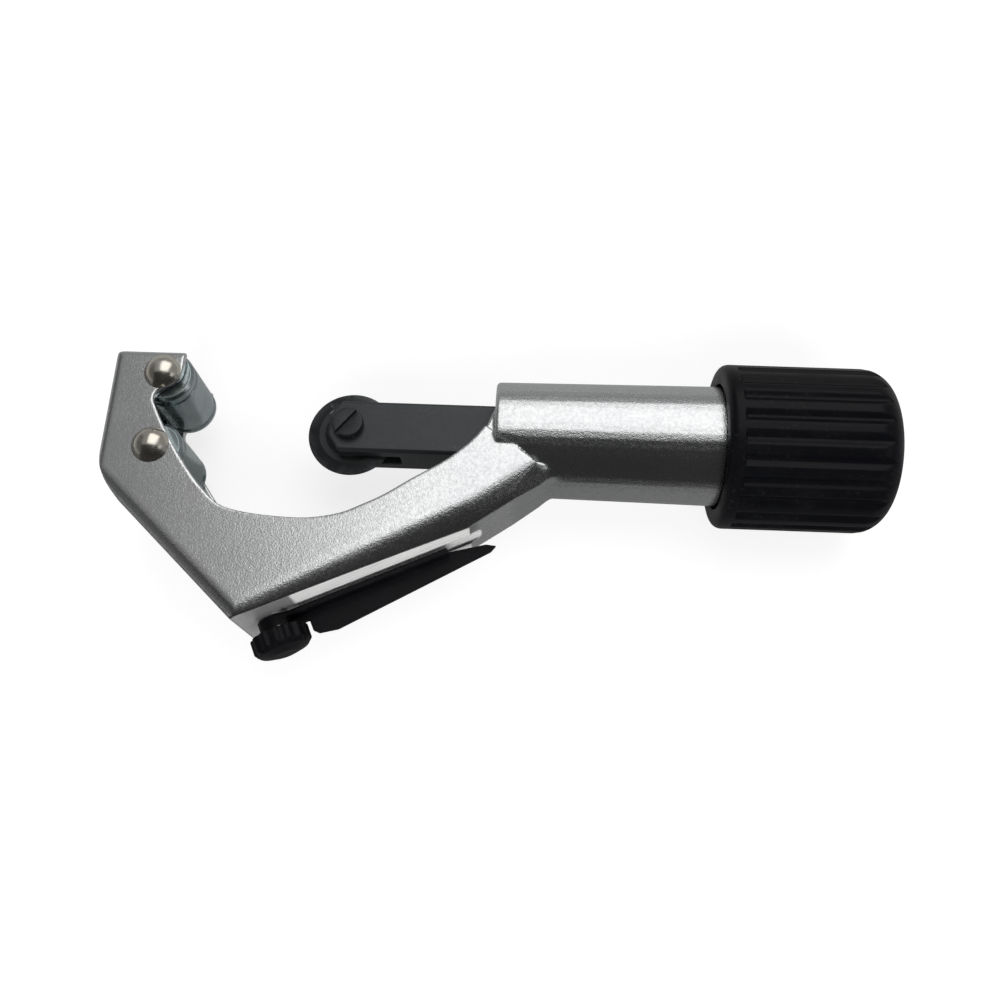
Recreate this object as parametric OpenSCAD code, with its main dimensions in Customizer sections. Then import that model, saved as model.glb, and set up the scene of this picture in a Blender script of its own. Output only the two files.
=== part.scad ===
// Tube cutter lying on its side.
// X runs along the barrel to the knob, Y points out of the open side, Z is across the frame.
// The origin is midway between the two rollers, in the middle of the frame's thickness.

/* [Cutting] */
// Cutter wheel diameter
wheel_d = 18; // [14:0.5:24]
// Wheel hub thickness
wheel_hub_t = 3; // [2:0.1:5]
// Wheel hub diameter
wheel_hub_d = 9; // [7:0.1:13]
// Wheel disc thickness beside the hub
wheel_disc_t = 1.6; // [1:0.1:2.4]
// Flat left on the wheel's cutting edge
wheel_edge_t = 0.1; // [0.05:0.01:0.3]
// Depth of the sharpened bevel
wheel_bevel = 2.4; // [1:0.1:4]
// Wheel axis from the roller line, at rest
wheel_x = 37.3; // [25:0.1:45]
// Bushing outside diameter
bushing_d = 6.4; // [5:0.1:8]
// Bushing length past the hub, both sides together
bushing_extra = 0.3; // [0:0.05:0.6]

/* [Rollers] */
// Roller diameter
roller_d = 11.2; // [8:0.1:15]
// Distance between the roller axes
roller_pitch = 15.8; // [12:0.1:20]
// Roller pin diameter
pin_d = 4.5; // [3:0.1:6]
// Domed pin head diameter
pin_head_d = 7.4; // [5:0.1:9]
// Domed pin head height
pin_head_h = 2.5; // [1:0.1:3.5]
// Width of the groove near each end of a roller
roller_groove_w = 1.4; // [0.5:0.1:2]
// Depth of the groove near each end of a roller
roller_groove_h = 0.3; // [0.2:0.1:1]
// Roller's end to its groove
roller_groove_set = 1.4; // [1.2:0.1:3]
// Chamfer at the roller's ends
roller_chamfer = 0.6; // [0.2:0.1:1.2]
// Width of one ear of the fork
ear_t = 1.7; // [1.5:0.1:4]
// Gap between a roller and the fork, each side
roller_side_gap = 0.25; // [0.1:0.05:0.6]
// Gap between a roller and the back of its slot
roller_back_gap = 0.6; // [0.4:0.1:1.5]

/* [Frame] */
// Thickness of the cast fork and arm
frame_t = 21; // [16:0.1:28]
// Roller line to the back of the head
head_back = 10.1; // [8:0.1:14]
// Axis to the top of the head
head_top = 12.6; // [10:0.1:18]
// Roller line to the front corner of the head
head_front = 3.9; // [2:0.1:6]
// Rounding of the head's top back corner
head_corner = 1.2; // [0.5:0.1:3]
// Roller line to the tip of the arm
arm_reach = 65.3; // [55:0.1:75]
// Axis to the lowest corner of the arm
arm_drop = 42.9; // [35:0.1:50]
// Points of the throat's edge along the tool, as shares of the arm reach
throat_x_shares = [
    0.0597, 0.0521, 0.0184, -0.0092, -0.0153, -0.0046, 0.0138, 0.0444, 0.0827, 0.1332, 0.1868, 0.2297,
    0.2757, 0.3446, 0.4380, 0.5130, 0.5896, 0.6462, 0.7121, 0.7887, 0.8714, 0.9219, 0.9648, 1
]; // shares
// Points of the throat's edge across the tool, as shares of the arm drop
throat_y_shares = [
    0.2145, 0.1585, 0.1142, 0.0839, 0.0466, 0.0070, -0.0466, -0.1259, -0.2145, -0.3170, -0.4056, -0.4569,
    -0.4802, -0.4965, -0.5058, -0.5012, -0.4755, -0.4359, -0.3823, -0.3030, -0.2238, -0.1632, -0.1002,
    -0.0303
]; // shares
// Points of the outer edge along the tool, as shares of the arm reach
outer_x_shares = [1.1577, 1.2343, 1.0260, 0.3338, 0.3188]; // shares
// Points of the outer edge across the tool, as shares of the arm drop
outer_y_shares = [-0.2005, -0.2191, -0.5245, -0.9930, -0.9970]; // shares
// Points of the head's lower back corner along the tool, as shares of the arm reach
back_x_shares = [-0.0766, -0.1195, -0.1455, -0.1547]; // shares
// Points of the head's lower back corner across the tool, as shares of the arm drop
back_y_shares = [-0.4476, -0.3683, -0.2890, -0.2214]; // shares
// Slope of the arm's underside, degrees
under_a = 24.7; // [15:0.1:35]
// Slope of the lower part of the back, degrees
back_a = -42.3; // [-60:0.1:-30]
// Slope of the elbow beside the barrel, degrees
elbow_a = 35; // [25:1:50]
// Height of the arm's rounded lower edges at the pivot
edge_h = 3.3; // [2:0.1:5]
// Angle between the arm's rounded lower edges and its underside, degrees
edge_spread = 4; // [0:0.5:6]
// Height of the elbow's rounded lower edges
elbow_edge_h = 5.9; // [3:0.1:7]
// Radius of the rounded lower edges
edge_r = 8; // [7:0.1:12]
// Height of the rounded edges of the head's back
back_edge_h = 1.6; // [0.5:0.1:3]
// Radius of the rounded edges of the head's back
back_edge_r = 2; // [1:0.1:4]
// Height of the rounded edges of the slope below the head
slope_edge_h = 3; // [1:0.1:4]
// Radius of the rounded edges of the slope below the head
slope_edge_r = 4; // [3:0.1:6]
// Width of the cheeks beside the slide
cheek_t = 18.8; // [14:0.1:24]
// Points of the cheeks' front edge along the tool, as shares of the arm reach
cheek_x_shares = [1, 1.0138, 1.0291, 1.0352, 1.1026, 1.1026]; // shares
// Points of the cheeks' front edge across the tool, as shares of the arm drop
cheek_y_shares = [-0.0350, 0.0210, 0.0746, 0.1399, 0.1399, -0.2331]; // shares

/* [Barrel] */
// Arm tip to the barrel's mouth
mouth_set = 1.8; // [0.5:0.1:4]
// Barrel length
barrel_l = 52.3; // [45:0.1:70]
// Barrel diameter at the mouth
mouth_d = 23.4; // [20:0.1:28]
// Barrel diameter at the rear
barrel_d = 24.7; // [20:0.1:30]
// Rounding of the barrel's mouth
mouth_round = 0.5; // [0.2:0.1:1.5]

/* [Slide] */
// Slide height
slide_h = 11; // [8:0.1:14]
// Slide depth
slide_t = 9.8; // [8:0.1:14]
// Slide length ahead of the wheel axis
nose_l = 3.9; // [3:0.1:6]
// Height of the flat on the slide's nose
nose_flat = 4.4; // [2:0.1:8]
// Length of the nose's chamfer
nose_chamfer = 2.2; // [0.5:0.1:4]
// Wheel slot width
wheel_slot_w = 3.7; // [3.4:0.1:5]
// Wheel slot length behind the wheel axis
wheel_slot_l = 10.6; // [9.5:0.1:14]
// Gap between the slide and its guide, each side
guide_gap = 0.15; // [0.05:0.01:0.4]
// Chamfer along the slide's edges
slide_chamfer = 0.5; // [0.2:0.1:1.2]

/* [Wheel screw] */
// Head diameter
wheel_screw_head_d = 6.3; // [5:0.1:8]
// Head height
wheel_screw_head_h = 1.9; // [1:0.1:3]
// Shank diameter
wheel_screw_d = 4.2; // [3:0.1:5]
// Slot width in screw heads
screw_slot_w = 0.8; // [0.5:0.1:1.5]
// Slot depth in screw heads
screw_slot_h = 0.9; // [0.5:0.1:1.5]
// Turn of the slot, degrees
screw_slot_a = 51; // [0:1:180]

/* [Feed] */
// Travel back from rest, which opens the throat
pull_back = 6.2; // [2:0.1:10]
// Gap left ahead of the nut at full opening
rear_gap = 0.6; // [0.3:0.1:3]
// Travel forward from rest, which closes the throat
push_forward = 21.4; // [15:0.1:26]
// Gap left behind the barrel at full closing
front_gap = 0.4; // [0.3:0.1:2]
// Feed thread diameter
feed_d = 8; // [6:0.5:12]
// Journal diameter in the slide
journal_d = 6; // [4:0.1:8]
// Journal length in the slide
journal_l = 9; // [6:0.1:14]
// Groove width for the swivel pin
swivel_groove_w = 2.7; // [2.2:0.1:4]
// Groove depth for the swivel pin
swivel_groove_h = 1.1; // [0.6:0.1:2]
// Swivel pin diameter
swivel_pin_d = 2.4; // [1.5:0.1:3]
// Swivel pin's place from the slide's rear
swivel_pin_x = 5; // [3:0.1:8]
// Thrust washer diameter
thrust_d = 9.4; // [8.4:0.1:12]
// Gap between the thrust washer and the screw's shoulder
thrust_gap = 0.1; // [0.05:0.01:0.3]
// Thrust washer thickness
thrust_t = 0.8; // [0.4:0.1:2]
// Nut diameter
nut_d = 17; // [12:0.5:20]
// Nut length
nut_l = 10; // [6:0.5:14]
// Barrel's rear end to the nut
nut_inset = 3; // [0:0.1:6]
// Nut pin diameter
nut_pin_d = 2.5; // [2:0.1:4]
// Nut pin length
nut_pin_l = 4.6; // [3:0.1:6]
// Shank diameter in the knob's hub
hub_shank_d = 6.4; // [4:0.1:7]
// Flat depth on the shank
shank_flat = 0.9; // [0.4:0.1:1.6]

/* [Knob] */
// Thickness of the knob's skirt, over the flutes
knob_wall = 3.95; // [3:0.05:6]
// Length of the barrel's end inside the knob, at rest
skirt_cover = 7.2; // [4:0.1:20]
// Smooth rim length
rim_l = 2.6; // [1:0.1:6]
// Knob corner radius
knob_corner_r = 6; // [3:0.5:10]
// Height of the end cap's raised middle
knob_dome_h = 0.4; // [0.2:0.1:2]
// Number of flutes
flute_n = 24; // [12:1:36]
// Flute width
flute_w = 2.8; // [1.5:0.1:4]
// Flute depth
flute_h = 0.8; // [0.3:0.1:1.5]
// Gap between the knob's skirt and the barrel
skirt_gap = 0.5; // [0.3:0.1:1]
// Gap between the knob screw's head and the end cap
cap_gap = 0.3; // [0.1:0.1:1]
// Rounding of the knob's rim
rim_round = 1.4; // [0.3:0.1:2]
// Insert diameter
insert_d = 13; // [9:0.5:18]
// Insert length
insert_l = 1.6; // [1.2:0.1:8]
// Insert flange diameter
insert_flange_d = 16; // [12:0.5:20]
// Insert flange thickness
insert_flange_t = 2.2; // [0.6:0.1:3]
// Knob screw head diameter
knob_screw_head_d = 7; // [5:0.1:9]
// Knob screw head height
knob_screw_head_h = 1.4; // [1:0.1:3]
// Knob screw thread diameter
knob_screw_d = 3.5; // [2.5:0.1:5]
// Knob screw thread length
knob_screw_l = 8; // [4:0.5:12]
// Knob washer diameter
knob_washer_d = 10; // [7:0.1:14]
// Gap around the knob washer
washer_gap = 0.1; // [0.05:0.01:0.5]
// Knob washer thickness
knob_washer_t = 0.6; // [0.4:0.1:1.5]
// End cap diameter
cap_d = 12.4; // [9:0.1:18]
// End cap thickness
cap_t = 1.2; // [0.8:0.1:3]

/* [Reamer] */
// Pivot's place along the tool
pivot_x = 25.5; // [22:0.1:32]
// Pivot's place across the tool, below the axis
pivot_drop = 39; // [34:0.1:46]
// Pivot to the blade's tip
blade_l = 45.6; // [35:0.1:55]
// Web length from the pivot
web_l = 36.2; // [25:0.1:45]
// Web width
web_w = 4.4; // [3:0.1:8]
// Hub diameter
hub_d = 6.6; // [6:0.1:12]
// Hub thickness
hub_t = 2.5; // [1.2:0.1:4]
// Sheet thickness
sheet_t = 1.1; // [0.8:0.1:2]
// Blade height near the hub, below the underside
blade_h = 6.65; // [4:0.05:8]
// Blade height at the tip, below the underside
tip_h = 3.55; // [2.5:0.05:5]
// Blade start from the pivot
blade_start = 6.2; // [6:0.1:10]
// Edge of the pivot's hole to the blade's narrow part
blade_neck_set = 0.5; // [0.3:0.1:1]
// Distance over which the blade's start slopes
blade_ramp = 4.6; // [2:0.1:8]
// Height where the blade's slope ends, as a share of its height
blade_knee_share = 0.9; // [0.7:0.01:0.99]
// Height where the blade's slope starts, as a share of its height
blade_heel_share = 0.76; // [0.3:0.01:0.9]
// Place of the slope's knee, as a share of its length
blade_slope_share = 0.2; // [0.1:0.01:0.6]
// Height of the blade's foremost point, as a share of its tip's height
blade_point_share = 0.8; // [0.6:0.01:0.9]
// Blade top taken off toward the tip
tip_relief = 1.4; // [0.2:0.1:2]
// Spring washer thickness
spring_washer_t = 0.3; // [0.2:0.05:0.8]
// Spring washer diameter
spring_washer_d = 6.2; // [6:0.1:11]
// Flat washer thickness
flat_washer_t = 0.4; // [0.3:0.05:1]
// Flat washer diameter
flat_washer_d = 8; // [7:0.1:12]
// Gap between the web and each washer
web_gap = 0.1; // [0.05:0.01:0.3]
// Pivot screw diameter
pivot_d = 4; // [3:0.1:5]
// Pivot screw length in the arm
pivot_l = 9; // [5:0.5:12]
// Pivot screw head diameter
pivot_head_d = 11.4; // [8:0.1:14]
// Pivot screw head height
pivot_head_h = 3.7; // [2:0.1:5]
// Chamfer of the pivot screw head
pivot_head_chamfer = 0.9; // [0.2:0.1:1.5]
// Height of the crown on the pivot screw head
pivot_crown_h = 0.8; // [0.2:0.1:1.2]
// Recess depth in the underside
recess_h = 0.5; // [0.3:0.1:2]
// Recess width
recess_w = 5.4; // [4:0.1:10]
// Recess length from the pivot
recess_l = 43.4; // [35:0.1:50]
// Recess corner radius
recess_r = 1.6; // [0.5:0.1:2]

/* [Fits] */
// Radial gap of a running fit
run_gap = 0.06; // [0.02:0.01:0.15]
// Radial gap of the feed thread
thread_gap = 0.08; // [0.03:0.01:0.2]

/* [Hidden] */
$fn = 64;
fine = $fn * 1.5;
small = 0.01;
over = 1;
curve_steps = 3;
half_t = frame_t / 2;
far = arm_reach * 2;
roller_l = frame_t - 2 * ear_t - 2 * roller_side_gap;
slot_t = frame_t - 2 * ear_t;
mouth_x = arm_reach + mouth_set;
barrel_end = mouth_x + barrel_l;
cavity_d = barrel_d + 2 * skirt_gap;
knob_d = cavity_d + 2 * knob_wall;
nut_x = barrel_end - nut_inset - nut_l;
shoulder_x = nut_x - pull_back - rear_gap;
slide_rear = shoulder_x - thrust_gap - thrust_t;
knob_x = barrel_end - skirt_cover;
cavity_end = barrel_end + push_forward + front_gap;
hub_x = cavity_end - insert_flange_t;
insert_end = cavity_end + insert_l;
cap_x = insert_end + knob_washer_t + knob_screw_head_h + cap_gap;
knob_end = cap_x + cap_t + knob_dome_h;
knob_l = knob_end - knob_x;
guide_h = slide_h + 2 * guide_gap;
guide_t = slide_t + 2 * guide_gap;
swivel_y = journal_d / 2 - swivel_groove_h + swivel_pin_d / 2 + run_gap;
web_top = -(spring_washer_t + web_gap);
blade_neck_x = pivot_d / 2 + run_gap + blade_neck_set;
head_base = web_top - hub_t - web_gap - flat_washer_t;
casting = [0.74, 0.75, 0.75];
zinc = [0.50, 0.60, 0.62];
nickel = [0.75, 0.73, 0.68];
dark = [0.24, 0.25, 0.26];
steel = [0.62, 0.63, 0.64];
brass = [0.78, 0.66, 0.36];
black = [0.10, 0.10, 0.11];

// Rotation that lays a cylinder along X
module along_x(x) {
    translate([x, 0, 0]) rotate([0, 90, 0]) children();
}

// Frame of the arm's underside: X to the blade's tip, Y into the arm
module under() {
    translate([pivot_x, -pivot_drop, 0]) rotate([0, 0, under_a]) children();
}

// Cylinder along the pivot's axis, from y0 to y1
module pivot_cylinder(y0, y1, d) {
    under() translate([0, y1, 0]) rotate([90, 0, 0]) cylinder(h = y1 - y0, d = d);
}

// Block above an edge line, with both lower edges rounded
module rounded_side(x, y, angle, h, r) {
    translate([x, y, 0]) rotate([0, 0, angle]) rotate([90, 0, 90])
        linear_extrude(height = far * 2, center = true)
            intersection() {
                translate([0, -half_t]) square([far, frame_t]);
                union() {
                    translate([h, -half_t]) square([far, frame_t]);
                    translate([0, -(half_t - r)]) square([far, frame_t - 2 * r]);
                    translate([h, half_t - r]) circle(r = r);
                    translate([h, -(half_t - r)]) circle(r = r);
                }
            }
}

// Smooth line through points, with curve_steps parts between each two
function curve(p) = concat(
    [
        for (i = [0 : len(p) - 2], k = [0 : curve_steps - 1])
            let(
                t = k / curve_steps, a = p[max(i - 1, 0)], b = p[i], c = p[i + 1],
                d = p[min(i + 2, len(p) - 1)]
            )
                0.5 * (2 * b + (c - a) * t + (2 * a - 5 * b + 4 * c - d) * t * t
                + (3 * b - a - 3 * c + d) * t * t * t)
    ],
    [p[len(p) - 1]]
);

// Points from two tables of shares of the arm's reach and drop
function arm_points(xs, ys) = [for (i = [0 : len(xs) - 1]) [xs[i] * arm_reach, ys[i] * arm_drop]];

// Side view of the fork and arm
module side_outline() {
    bevel = head_corner * (1 - cos(45));
    polygon(concat(
        [
            [-head_back, head_top - head_corner], [-head_back + bevel, head_top - bevel],
            [-head_back + head_corner, head_top], [head_front, head_top]
        ],
        curve(arm_points(throat_x_shares, throat_y_shares)),
        arm_points(outer_x_shares, outer_y_shares),
        curve(arm_points(back_x_shares, back_y_shares))
    ));
}

module cheek_outline() {
    polygon(arm_points(cheek_x_shares, cheek_y_shares));
}

module arm() {
    back_point = [back_x_shares[0] * arm_reach, back_y_shares[0] * arm_drop];
    elbow_point = [outer_x_shares[1] * arm_reach, outer_y_shares[1] * arm_drop];
    edge_base = edge_h - edge_r;
    intersection() {
        linear_extrude(height = frame_t, center = true) side_outline();
        under() translate([-far, 0, -half_t]) cube([far * 2, far, frame_t]);
        rounded_side(
            pivot_x - edge_base * sin(under_a), edge_base * cos(under_a) - pivot_drop,
            under_a + edge_spread, edge_r, edge_r
        );
        rounded_side(back_point[0], back_point[1], back_a, slope_edge_h, slope_edge_r);
        rounded_side(elbow_point[0], elbow_point[1], elbow_a, elbow_edge_h, edge_r);
        rounded_side(-head_back, 0, -90, back_edge_h, back_edge_r);
        rounded_side(0, head_top, 180, back_edge_h, back_edge_r);
    }
}

module recess() {
    under() difference() {
        translate([0, recess_h, 0]) rotate([90, 0, 0])
            linear_extrude(height = recess_h * 2)
                union() {
                    translate([0, -recess_w / 2]) square([recess_l - recess_r, recess_w]);
                    translate([0, -(recess_w / 2 - recess_r)]) square([recess_l, recess_w - 2 * recess_r]);
                    translate([recess_l - recess_r, recess_w / 2 - recess_r]) circle(r = recess_r);
                    translate([recess_l - recess_r, -(recess_w / 2 - recess_r)]) circle(r = recess_r);
                }
        rotate([90, 0, 0]) cylinder(h = recess_h * 3, d = recess_w, center = true);
    }
}

module frame() {
    color(casting) difference() {
        union() {
            arm();
            linear_extrude(height = cheek_t, center = true) cheek_outline();
            along_x(mouth_x + mouth_round)
                cylinder(h = barrel_l - mouth_round, d1 = mouth_d, d2 = barrel_d, $fn = fine);
            along_x(mouth_x)
                cylinder(h = mouth_round, d1 = mouth_d - 2 * mouth_round, d2 = mouth_d, $fn = fine);
        }
        for (side = [-1, 1])
            translate([0, side * roller_pitch / 2, 0]) {
                cylinder(h = slot_t, d = roller_d + 2 * roller_back_gap, center = true);
                translate([0, -(roller_d / 2 + roller_back_gap), -slot_t / 2])
                    cube([roller_d, roller_d + 2 * roller_back_gap, slot_t]);
                cylinder(h = frame_t + over, d = pin_d, center = true);
            }
        translate([-roller_d / 2, -roller_pitch / 2, -slot_t / 2]) cube([roller_d, roller_pitch, slot_t]);
        translate([arm_reach - slide_h, -guide_h / 2, -guide_t / 2])
            cube([nut_x - arm_reach + slide_h + small, guide_h, guide_t]);
        along_x(nut_x) cylinder(h = nut_l + nut_inset + small, d = nut_d);
        translate([nut_x + nut_l / 2, nut_d / 2 - nut_pin_l / 2, 0]) rotate([-90, 0, 0])
            cylinder(h = barrel_d, d = nut_pin_d);
        recess();
        pivot_cylinder(-recess_h, pivot_l, pivot_d);
    }
}

module roller_pin(side) {
    color(nickel) translate([0, side * roller_pitch / 2, 0]) {
        cylinder(h = frame_t, d = pin_d, center = true);
        for (face = [0, 1])
            mirror([0, 0, face]) translate([0, 0, half_t])
                intersection() {
                    cylinder(h = pin_head_h, d = pin_head_d);
                    translate([0, 0, pin_head_h - dome_r()]) sphere(r = dome_r(), $fn = fine);
                }
    }
}

// Radius of the ball that a pin's dome is part of
function dome_r() = (pin_head_d * pin_head_d / 4 + pin_head_h * pin_head_h) / (2 * pin_head_h);

module roller_pin_upper() {
    roller_pin(1);
}

module roller_pin_lower() {
    roller_pin(-1);
}

module roller(side) {
    r = roller_d / 2;
    bore = pin_d / 2 + run_gap;
    end = roller_l / 2;
    outside = end - roller_groove_set;
    inside = outside - roller_groove_w;
    color(zinc) translate([0, side * roller_pitch / 2, 0])
        rotate_extrude($fn = fine)
            polygon([
                [bore, -end], [r - roller_chamfer, -end], [r, -end + roller_chamfer],
                [r, -outside], [r - roller_groove_h, -outside],
                [r - roller_groove_h, -inside], [r, -inside],
                [r, inside], [r - roller_groove_h, inside],
                [r - roller_groove_h, outside], [r, outside],
                [r, end - roller_chamfer], [r - roller_chamfer, end], [bore, end]
            ]);
}

module roller_upper() {
    roller(1);
}

module roller_lower() {
    roller(-1);
}

module slide() {
    y = slide_h / 2;
    z = slide_t / 2;
    c = slide_chamfer;
    color(dark) difference() {
        intersection() {
            linear_extrude(height = slide_t, center = true)
                polygon([
                    [wheel_x - nose_l, -nose_flat / 2], [wheel_x - nose_l + nose_chamfer, -y],
                    [slide_rear, -y], [slide_rear, y],
                    [wheel_x - nose_l + nose_chamfer, y], [wheel_x - nose_l, nose_flat / 2]
                ]);
            rotate([90, 0, 90]) linear_extrude(height = far)
                polygon([
                    [-y, -z + c], [-y + c, -z], [y - c, -z], [y, -z + c],
                    [y, z - c], [y - c, z], [-y + c, z], [-y, z - c]
                ]);
        }
        translate([wheel_x - nose_l - small, -slide_h, -wheel_slot_w / 2])
            cube([nose_l + wheel_slot_l, slide_h * 2, wheel_slot_w]);
        translate([wheel_x, 0, -slide_t]) cylinder(h = slide_t * 2, d = wheel_screw_d);
        along_x(slide_rear - journal_l - run_gap)
            cylinder(h = journal_l + over, d = journal_d + 2 * run_gap);
        translate([slide_rear - swivel_pin_x, swivel_y, -slide_t])
            cylinder(h = slide_t * 2, d = swivel_pin_d);
    }
}

module wheel_screw() {
    color(dark) translate([wheel_x, 0, 0]) difference() {
        union() {
            translate([0, 0, -slide_t / 2]) cylinder(h = slide_t, d = wheel_screw_d);
            translate([0, 0, slide_t / 2]) cylinder(h = wheel_screw_head_h, d = wheel_screw_head_d);
        }
        translate([0, 0, slide_t / 2 + wheel_screw_head_h]) rotate([0, 0, screw_slot_a])
            cube([wheel_screw_head_d * 2, screw_slot_w, screw_slot_h * 2], center = true);
    }
}

module swivel_pin() {
    color(steel)
        translate([slide_rear - swivel_pin_x, swivel_y, 0])
            cylinder(h = slide_t, d = swivel_pin_d, center = true);
}

module thrust_washer() {
    color(brass) along_x(slide_rear) difference() {
        cylinder(h = thrust_t, d = thrust_d);
        translate([0, 0, -small]) cylinder(h = thrust_t + 2 * small, d = journal_d + 2 * run_gap);
    }
}

module cutter_wheel() {
    r = wheel_d / 2;
    hub = wheel_hub_d / 2;
    bore = bushing_d / 2;
    color(dark) translate([wheel_x, 0, 0]) rotate_extrude($fn = fine)
        polygon([
            [bore, -wheel_hub_t / 2], [hub, -wheel_hub_t / 2],
            [hub + wheel_disc_t / 2, -wheel_disc_t / 2],
            [r - wheel_bevel, -wheel_disc_t / 2], [r, -wheel_edge_t / 2], [r, wheel_edge_t / 2],
            [r - wheel_bevel, wheel_disc_t / 2], [hub + wheel_disc_t / 2, wheel_disc_t / 2],
            [hub, wheel_hub_t / 2], [bore, wheel_hub_t / 2]
        ]);
}

module wheel_bushing() {
    color(brass) translate([wheel_x, 0, 0]) difference() {
        cylinder(h = wheel_hub_t + bushing_extra, d = bushing_d, center = true);
        cylinder(h = wheel_hub_t * 2, d = wheel_screw_d + 2 * run_gap, center = true);
    }
}

module feed_screw() {
    color(steel) difference() {
        union() {
            along_x(slide_rear - journal_l) cylinder(h = journal_l + thrust_t + thrust_gap, d = journal_d);
            along_x(shoulder_x) cylinder(h = hub_x - shoulder_x, d = feed_d);
            along_x(hub_x - small) cylinder(h = insert_end - hub_x + small, d = hub_shank_d);
        }
        along_x(slide_rear - swivel_pin_x - swivel_groove_w / 2) difference() {
            cylinder(h = swivel_groove_w, d = feed_d);
            translate([0, 0, -small])
                cylinder(h = swivel_groove_w + 2 * small, d = journal_d - 2 * swivel_groove_h);
        }
        translate([hub_x, hub_shank_d / 2 - shank_flat, -feed_d / 2]) cube([knob_l, feed_d, feed_d]);
        along_x(insert_end - knob_screw_l) cylinder(h = knob_screw_l + small, d = knob_screw_d);
    }
}

module feed_nut() {
    color(brass) difference() {
        along_x(nut_x) cylinder(h = nut_l, d = nut_d);
        along_x(nut_x - over) cylinder(h = nut_l + 2 * over, d = feed_d + 2 * thread_gap);
        translate([nut_x + nut_l / 2, nut_d / 2 - nut_pin_l / 2, 0]) rotate([-90, 0, 0])
            cylinder(h = barrel_d, d = nut_pin_d);
    }
}

module nut_pin() {
    color(steel) translate([nut_x + nut_l / 2, nut_d / 2 - nut_pin_l / 2, 0]) rotate([-90, 0, 0])
        cylinder(h = nut_pin_l, d = nut_pin_d);
}

module knob() {
    r = knob_d / 2;
    c = knob_corner_r;
    flat_x = knob_end - knob_dome_h;
    bevel = rim_round * (1 - cos(45));
    color(black) difference() {
        along_x(0) rotate_extrude($fn = fine)
            difference() {
                union() {
                    polygon([
                        [0, knob_x], [r - rim_round, knob_x], [r - bevel, knob_x + bevel],
                        [r, knob_x + rim_round], [r, flat_x - c], [r - c, flat_x - c],
                        [r - c, flat_x], [0, flat_x]
                    ]);
                    intersection() {
                        translate([r - c, flat_x - c]) circle(r = c);
                        translate([r - c - small, flat_x - c - small]) square([c * 2, c * 2]);
                    }
                }
                translate([-over, knob_x - over]) square([cavity_d / 2 + over, cavity_end - knob_x + over]);
                translate([-over, knob_x]) square([insert_d / 2 + over, insert_end - knob_x]);
                translate([-over, knob_x]) square([knob_washer_d / 2 + washer_gap + over, cap_x - knob_x]);
                translate([-over, cap_x]) square([cap_d / 2 + over, knob_l]);
            }
        for (i = [0 : flute_n - 1])
            rotate([(i + 0.5) * 360 / flute_n, 0, 0])
                translate([knob_x + rim_l, r + flute_w / 2 - flute_h, 0])
                    rotate([0, 90, 0]) cylinder(h = knob_l, d = flute_w);
    }
}

module knob_insert() {
    hub_l = insert_l + insert_flange_t;
    color(steel) difference() {
        union() {
            along_x(hub_x) cylinder(h = insert_flange_t, d = insert_flange_d);
            along_x(cavity_end - small) cylinder(h = insert_l + small, d = insert_d);
        }
        intersection() {
            along_x(hub_x - over) cylinder(h = hub_l + 2 * over, d = hub_shank_d);
            translate([hub_x - 2 * over, -feed_d, -feed_d])
                cube([hub_l + 4 * over, feed_d + hub_shank_d / 2 - shank_flat, feed_d * 2]);
        }
    }
}

module knob_washer() {
    color(steel) along_x(insert_end) difference() {
        cylinder(h = knob_washer_t, d = knob_washer_d);
        translate([0, 0, -small]) cylinder(h = knob_washer_t + 2 * small, d = knob_screw_d);
    }
}

module knob_screw() {
    color(steel) difference() {
        union() {
            along_x(insert_end - knob_screw_l) cylinder(h = knob_screw_l + knob_washer_t, d = knob_screw_d);
            along_x(insert_end + knob_washer_t) cylinder(h = knob_screw_head_h, d = knob_screw_head_d);
        }
        translate([insert_end + knob_washer_t + knob_screw_head_h, 0, 0])
            cube([screw_slot_h * 2, knob_screw_head_d * 2, screw_slot_w], center = true);
    }
}

module knob_end_cap() {
    color(black) union() {
        along_x(cap_x) cylinder(h = cap_t, d = cap_d);
        along_x(cap_x + cap_t) cylinder(h = knob_dome_h, d1 = cap_d, d2 = cap_d - 4 * knob_dome_h);
    }
}

module reamer_blade() {
    color(black) under() {
        difference() {
            translate([0, web_top, 0]) rotate([90, 0, 0]) union() {
                cylinder(h = hub_t, d = hub_d);
                translate([0, -web_w / 2, 0]) cube([web_l, web_w, sheet_t]);
            }
            translate([0, web_top + over, 0]) rotate([90, 0, 0])
                cylinder(h = hub_t + 2 * over, d = pivot_d + 2 * run_gap);
        }
        translate([0, 0, -web_w / 2]) linear_extrude(height = sheet_t)
            polygon([
                [blade_neck_x, web_top], [web_l, web_top],
                [blade_l - tip_h / 2, web_top - tip_relief],
                [blade_l, -tip_h * blade_point_share], [blade_l - tip_relief, -tip_h],
                [blade_start + blade_ramp, -blade_h],
                [blade_start + blade_ramp * blade_slope_share, -blade_h * blade_knee_share],
                [blade_start, -blade_h * blade_heel_share],
                [blade_start, web_top - hub_t], [blade_neck_x, web_top - hub_t]
            ]);
    }
}

module reamer_screw() {
    face_d = pivot_head_d - 2 * pivot_head_chamfer;
    color(black) union() {
        pivot_cylinder(head_base, pivot_l, pivot_d);
        pivot_cylinder(head_base - pivot_head_h + pivot_head_chamfer, head_base, pivot_head_d);
        under() translate([0, head_base - pivot_head_h + pivot_head_chamfer, 0]) rotate([90, 0, 0])
            cylinder(h = pivot_head_chamfer, d1 = pivot_head_d, d2 = face_d);
        under() translate([0, head_base - pivot_head_h, 0]) rotate([90, 0, 0])
            cylinder(h = pivot_crown_h, d1 = face_d, d2 = face_d / 2);
    }
}

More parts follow.
